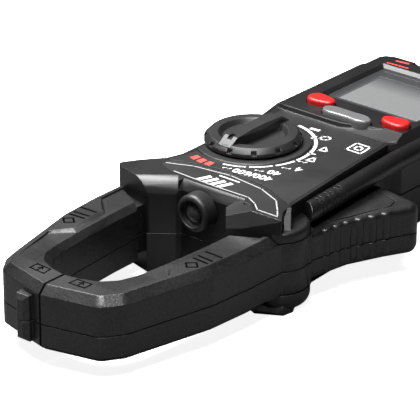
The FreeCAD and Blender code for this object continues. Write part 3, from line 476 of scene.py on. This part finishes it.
def dial_marks():
    """Scale arc around the knob, range numbers and plain range symbols."""
    arcs = [(-79, -57.5, 0.7), (-54.5, -33, 0.7), (-30, -10.5, 0.8),
            (-7.5, 13, 0.9), (14.5, 32, 1.0), (33.5, 82, 1.0)]
    bands = [arc_band(KNOB_X, KNOB_Y, SCALE_RADIUS, width, start, end) for start, end, width in arcs]
    plates("dial_scale_arc", bands, PANEL_Z, "white")
    dial_number("400/600", 4.3, 82.1, 187)
    dial_number("40", 8.2, 87.1, 190)
    dial_number("4", 12.1, 93.5, 192)
    wave = [(-1.1, -0.3), (-0.55, 0.3), (0.0, 0.0), (0.55, -0.3), (1.1, 0.3)]
    waves = []
    for x, y in [(-4.2, 81.0), (4.0, 85.4), (8.8, 91.8), (9.6, 98.3)]:
        waves += stroke(placed(wave, x, y, 190), 0.45)
    plates("dial_range_waves", waves, PANEL_Z, "white")
    wedge = [(-1.3, 1.5), (1.3, 1.5), (0.0, -1.5)]
    marks = stroke(placed(wedge, 10.6, 101.6, 185), 0.5, True)
    marks += stroke(placed(wedge, 8.6, 109.6, 200), 0.5, True)
    marks += stroke(placed([(-1.0, 2.2), (1.0, 2.2)], 7.2, 106.6, 200), 0.5)
    ring = [(-2.0, 0), (-0.8, 1.2), (0.6, 1.2), (1.6, 0), (0.6, -1.2), (-0.8, -1.2)]
    marks += stroke(placed(ring, 3.9, 116.0, 225), 0.55, True)
    marks += stroke(placed([(2.4, -1.4), (3.4, 0.0), (4.6, -1.4)], 3.9, 116.0, 225), 0.5)
    marks += stroke([(-3.4, 119.2), (-1.4, 119.4)], 1.3)
    plates("dial_range_symbols", marks, PANEL_Z, "white")
    off_starts = [251 + 8.5 * i for i in range(3)]
    off = [arc_band(KNOB_X, KNOB_Y, SCALE_RADIUS + 1.9, 2.6, start, start + 5.5, 4) for start in off_starts]
    plates("dial_off_mark", off, PANEL_Z, "red_print")
    squares = stroke([(13.5, 113.7), (18.7, 113.6), (18.2, 119.1), (13.2, 119.2)], 0.6, True)
    squares += stroke([(15.0, 115.2), (17.2, 115.2), (16.9, 117.6), (14.8, 117.6)], 0.6, True)
    plates("panel_square_mark", squares, PANEL_Z, "white")


def band_marks():
    """White keyline round the rear of the front band, a painted edge highlight as a grey strip along its
    front edge, and a plain bar emblem.
    """
    top = top_of("front_band")
    # painted highlight: a grey strip along the band's front edge stands in for the edge's highlight
    line = [(-14.4, 69.7), (0.0, 69.0), (13.2, 69.2), (17.3, 67.1), (20.6, 64.3), (27.6, 64.3)]
    plates("band_front_edge_highlight", stroke(line, 0.4), top, "grey_print_and_edge_highlight")
    rear = [(27.2, 64.9), (25.2, 67.4), (20.7, 72.4), (12.5, 76.0), (0.0, 77.6), (-12.4, 76.0),
            (-20.0, 72.8)]
    plates("band_keyline_rear", stroke(rear, 0.4), top, "grey_print_and_edge_highlight")
    bars = []
    for i in range(4):
        x = -5.4 + 2.6 * i
        bars += stroke([(x, 69.9), (x + 1.2, 72.9)], 1.5)
    plates("band_bar_emblem", bars, top, "white")
    plates("band_fine_line", stroke([(-2.2, 75.6), (4.6, 75.5)], 0.6), top, "white")


def jaw_marks(side, body, prefix):
    """Dark marks on one jaw: an arrow box by the tip, plain bars and a diamond on the pad."""
    box = [(side * 4.6, 4.4), (side * 9.9, 4.7), (side * 9.9, 7.7), (side * 4.9, 7.4)]
    marks = stroke(box, 0.5, True)
    marks += stroke([(side * 7.4, 5.0), (side * 7.4, 7.0)], 0.45)
    marks += stroke([(side * 6.6, 6.1), (side * 7.4, 7.0), (side * 8.2, 6.1)], 0.4)
    plates(prefix + "_arrow_box", marks, JAW_TOP + 0.02, "dark", body)
    pad = stroke([(side * 20.4, 42.8), (side * 25.6, 42.6)], 0.8)
    for y in (39.4, 37.4):
        pad += stroke([(side * 20.2, y + 0.2), (side * 22.2, y)], 0.8)
        pad += stroke([(side * 23.0, y), (side * 25.0, y - 0.2)], 0.8)
    diamond = [(side * 22.6, 35.8), (side * 24.6, 33.9), (side * 22.4, 32.0), (side * 20.4, 33.9)]
    pad += stroke(diamond, 0.6, True)
    plates(prefix + "_pad_marks", pad, JAW_TOP, "dark", body)


def display_marks():
    """Small plain ticks on the display's border and red marks on the rear bezel."""
    low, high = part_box("lcd_module")
    front, back = low.y / MM + REF_Y + 0.5, low.y / MM + REF_Y + 2.1
    ticks = []
    x = low.x / MM + TICK_WIDTH
    while x < high.x / MM - 2.0:
        ticks.append([(x, front), (x + TICK_WIDTH, front), (x + TICK_WIDTH, back), (x, back)])
        x += TICK_PITCH
    plates("display_border_ticks", ticks, top_of("lcd_module"), "grey_dark")
    dashes = stroke([(-16.0, 172.9), (-12.6, 173.1)], 0.6) + stroke([(-11.8, 173.1), (-8.6, 173.2)], 0.6)
    dashes += stroke([(-14.6, 175.9), (-10.8, 176.3)], 0.9)
    plates("rear_bezel_dashes", dashes, top_of("front_housing"), "red_print")


# ---------------------------------------------------------------- stage
def seen_by_camera(tree):
    return tree.nodes.new("ShaderNodeLightPath").outputs["Is Camera Ray"]


def floor_material():
    """Pale sweep: bright to the eye, but it throws little light back up at the object."""
    mat, tree, shader = new_material("floor_pale")
    fine = noise(tree, 30.0, 2.0)
    tone = ramp(tree, fine.outputs["Fac"], *NOISE_MIDDLE, (0.80, 0.80, 0.80), (0.82, 0.82, 0.82))
    tree.links.new(tone.outputs[0], shader.inputs["Base Color"])
    shader.inputs["Roughness"].default_value = 1.0
    shader.inputs["Specular IOR Level"].default_value = 0.0
    shader.inputs["Emission Color"].default_value = (1.0, 1.0, 1.0, 1.0)
    shader.inputs["Emission Strength"].default_value = FLOOR_GLOW
    dim = tree.nodes.new("ShaderNodeBsdfDiffuse")
    dim.inputs[0].default_value = (FLOOR_BOUNCE, FLOOR_BOUNCE, FLOOR_BOUNCE, 1.0)
    mix = tree.nodes.new("ShaderNodeMixShader")
    tree.links.new(seen_by_camera(tree), mix.inputs[0])
    tree.links.new(dim.outputs[0], mix.inputs[1])
    tree.links.new(shader.outputs[0], mix.inputs[2])
    out = next(n for n in tree.nodes if n.type == "OUTPUT_MATERIAL")
    tree.links.new(mix.outputs[0], out.inputs[0])
    return mat


def area_light(name, place, target, size, power):
    data = bpy.data.lights.new(name, "AREA")
    data.shape = "RECTANGLE"
    data.size = size
    data.size_y = size * 0.8
    data.energy = power
    lamp = add_object(name, data)
    lamp.location = place
    aim = Vector(target) - Vector(place)
    lamp.rotation_mode = "QUATERNION"
    lamp.rotation_quaternion = aim.to_track_quat("-Z", "Y")


def studio():
    mesh = bpy.data.meshes.new("floor")
    corners = [(-1, -1), (1, -1), (1, 1), (-1, 1)]
    mesh.from_pydata([(x * FLOOR_HALF, y * FLOOR_HALF, 0) for x, y in corners], [], [(0, 1, 2, 3)])
    floor = add_object("floor", mesh)
    floor.location.z = CAD_BOX[0].z - FLOOR_DROP
    floor.data.materials.append(floor_material())

    world = bpy.data.worlds.new("studio")
    world.use_nodes = True
    tree = world.node_tree
    back = tree.nodes["Background"]
    back.inputs[0].default_value = (1.0, 1.0, 1.0, 1.0)
    level = map_range(tree, seen_by_camera(tree), 0.0, 1.0, FILL_LIGHT, 1.0)
    tree.links.new(level.outputs[0], back.inputs[1])
    bpy.context.scene.world = world
    bpy.context.scene.view_settings.view_transform = "Standard"

    area_light("overhead_softbox", (-0.22, -0.04, 0.52), (0.0, -0.02, 0.02), 0.36, KEY_POWER)
    area_light("front_softbox", (0.12, -0.24, 0.62), (0.0, -0.03, 0.02), 0.22, KEY_POWER * 0.55)
    area_light("left_softbox", (-0.44, 0.12, 0.60), (0.0, 0.0, 0.03), 0.16, 0.15)
    area_light("front_strip", (0.45, -0.75, 0.16), (0.0, -0.03, 0.01), 0.3, 0.3)


def camera():
    """Long lens from the jaw end, to the right of the middle plane."""
    data = bpy.data.cameras.new("camera")
    data.sensor_width = SENSOR_WIDTH
    data.lens = SENSOR_WIDTH * LENS_PER_SENSOR
    cam = add_object("camera", data)
    a, e = math.radians(AZIMUTH), math.radians(ELEVATION)
    look = Vector((-math.sin(a) * math.cos(e), math.cos(a) * math.cos(e), -math.sin(e)))
    cam.location = CAMERA_PLACE
    cam.rotation_mode = "QUATERNION"
    cam.rotation_quaternion = look.to_track_quat("-Z", "Y")
    data.clip_start = 0.05
    data.clip_end = 20.0
    bpy.context.scene.camera = cam


dress_nodes()
soften_edges()
dial_marks()
band_marks()
jaw_marks(-1, "root_case", "fixed_jaw")
jaw_marks(1, "jaw_lever", "moving_jaw")
display_marks()
studio()
camera()
